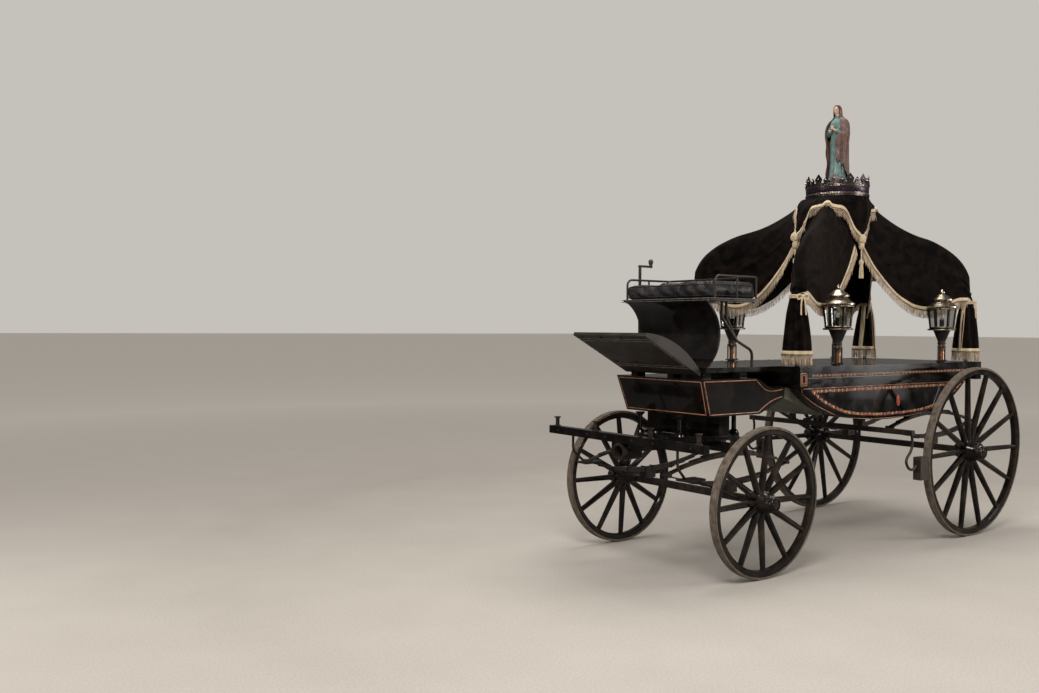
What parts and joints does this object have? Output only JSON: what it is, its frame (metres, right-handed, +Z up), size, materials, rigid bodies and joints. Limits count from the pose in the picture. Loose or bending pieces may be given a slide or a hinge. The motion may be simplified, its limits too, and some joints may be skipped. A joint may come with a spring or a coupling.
{
  "type": "horse-drawn hearse carriage",
  "caption": "Horse-drawn hearse: boat-shaped lacquered hull, flat deck, box seat, velvet canopy under a crown with a carved figure, glazed lamps and spoked wheels.",
  "frame": {"origin": "on the floor, under the middle of the carriage", "axes": "+X ahead, towards the horses; +Y to the driver's left; +Z up"},
  "size_m": [3.5134, 1.5522, 3.1386],
  "materials": {
    "lacquer": "gloss",
    "wheel_paint": "gloss",
    "tyre": "matte",
    "iron": "satin",
    "leather": "satin",
    "block_wood": "oiled",
    "braid": "twisted silk cord",
    "velvet": "velvet",
    "crown_metal": "dark bronze",
    "painted_wood": "old paint on carved wood",
    "lamp_brass": "worn",
    "lamp_metal": "silvered",
    "lamp_glass": "clear"
  },
  "bodies": {
    "carriage": {"arch_fairing": "lacquer", "boot": "lacquer", "brake_beam": "iron", "brake_blocks": "block_wood", "brake_crank": "iron", "canopy_dome": "velvet", "canopy_hoop": "iron", "canopy_ribs": "iron", "canopy_tails": "velvet", "canopy_wings": "velvet", "crown": "crown_metal", "deck": "lacquer", "figure": "painted_wood", "footboard": "lacquer", "hull": "lacquer", "lamp_frames": "lamp_metal", "lamp_glass": "lamp_glass", "lamp_roofs": "lamp_metal", "lamp_stems": "lamp_brass", "platform": "lacquer", "rear_axle": "iron", "rear_springs": "iron", "seat_board": "lacquer", "seat_cushion": "leather", "seat_rail": "iron", "seat_riser": "lacquer", "seat_stays": "iron", "spring_blocks": "lacquer", "tassels": "braid", "upper_bed": "lacquer"},
    "fore_carriage": {"front_axle": "iron", "front_springs": "iron", "fore_bed": "lacquer", "splinter_bar": "lacquer", "roller_bolts": "iron", "pole_socket": "iron", "step_irons": "iron"},
    "wheel_front_left": {"wheel_front_left": "wheel_paint", "tyre_front_left": "tyre", "hub_cap_front_left": "iron"},
    "wheel_front_right": {"wheel_front_right": "wheel_paint", "tyre_front_right": "tyre", "hub_cap_front_right": "iron"},
    "wheel_rear_left": {"wheel_rear_left": "wheel_paint", "tyre_rear_left": "tyre", "hub_cap_rear_left": "iron"},
    "wheel_rear_right": {"wheel_rear_right": "wheel_paint", "tyre_rear_right": "tyre", "hub_cap_rear_right": "iron"}
  },
  "joints": [
    {"name": "steer", "type": "hinge", "parent": "carriage", "child": "fore_carriage", "pos_m": [1.07329, 0, 0.82], "axis": [0, 0, 1], "range_deg": [-75, 75]},
    {"name": "spin_front_left", "type": "hinge", "parent": "fore_carriage", "child": "wheel_front_left", "pos_m": [1.07329, 0.64689, 0.4556], "axis": [0, 0.9994, -0.0349], "continuous": true},
    {"name": "spin_front_right", "type": "hinge", "parent": "fore_carriage", "child": "wheel_front_right", "pos_m": [1.07329, -0.64689, 0.4556], "axis": [0, 0.9994, 0.0349], "continuous": true},
    {"name": "spin_rear_left", "type": "hinge", "parent": "carriage", "child": "wheel_rear_left", "pos_m": [-1.14671, 0.6913, 0.6105], "axis": [0, 0.9994, -0.0349], "continuous": true},
    {"name": "spin_rear_right", "type": "hinge", "parent": "carriage", "child": "wheel_rear_right", "pos_m": [-1.14671, -0.6913, 0.6105], "axis": [0, 0.9994, 0.0349], "continuous": true}
  ]
}
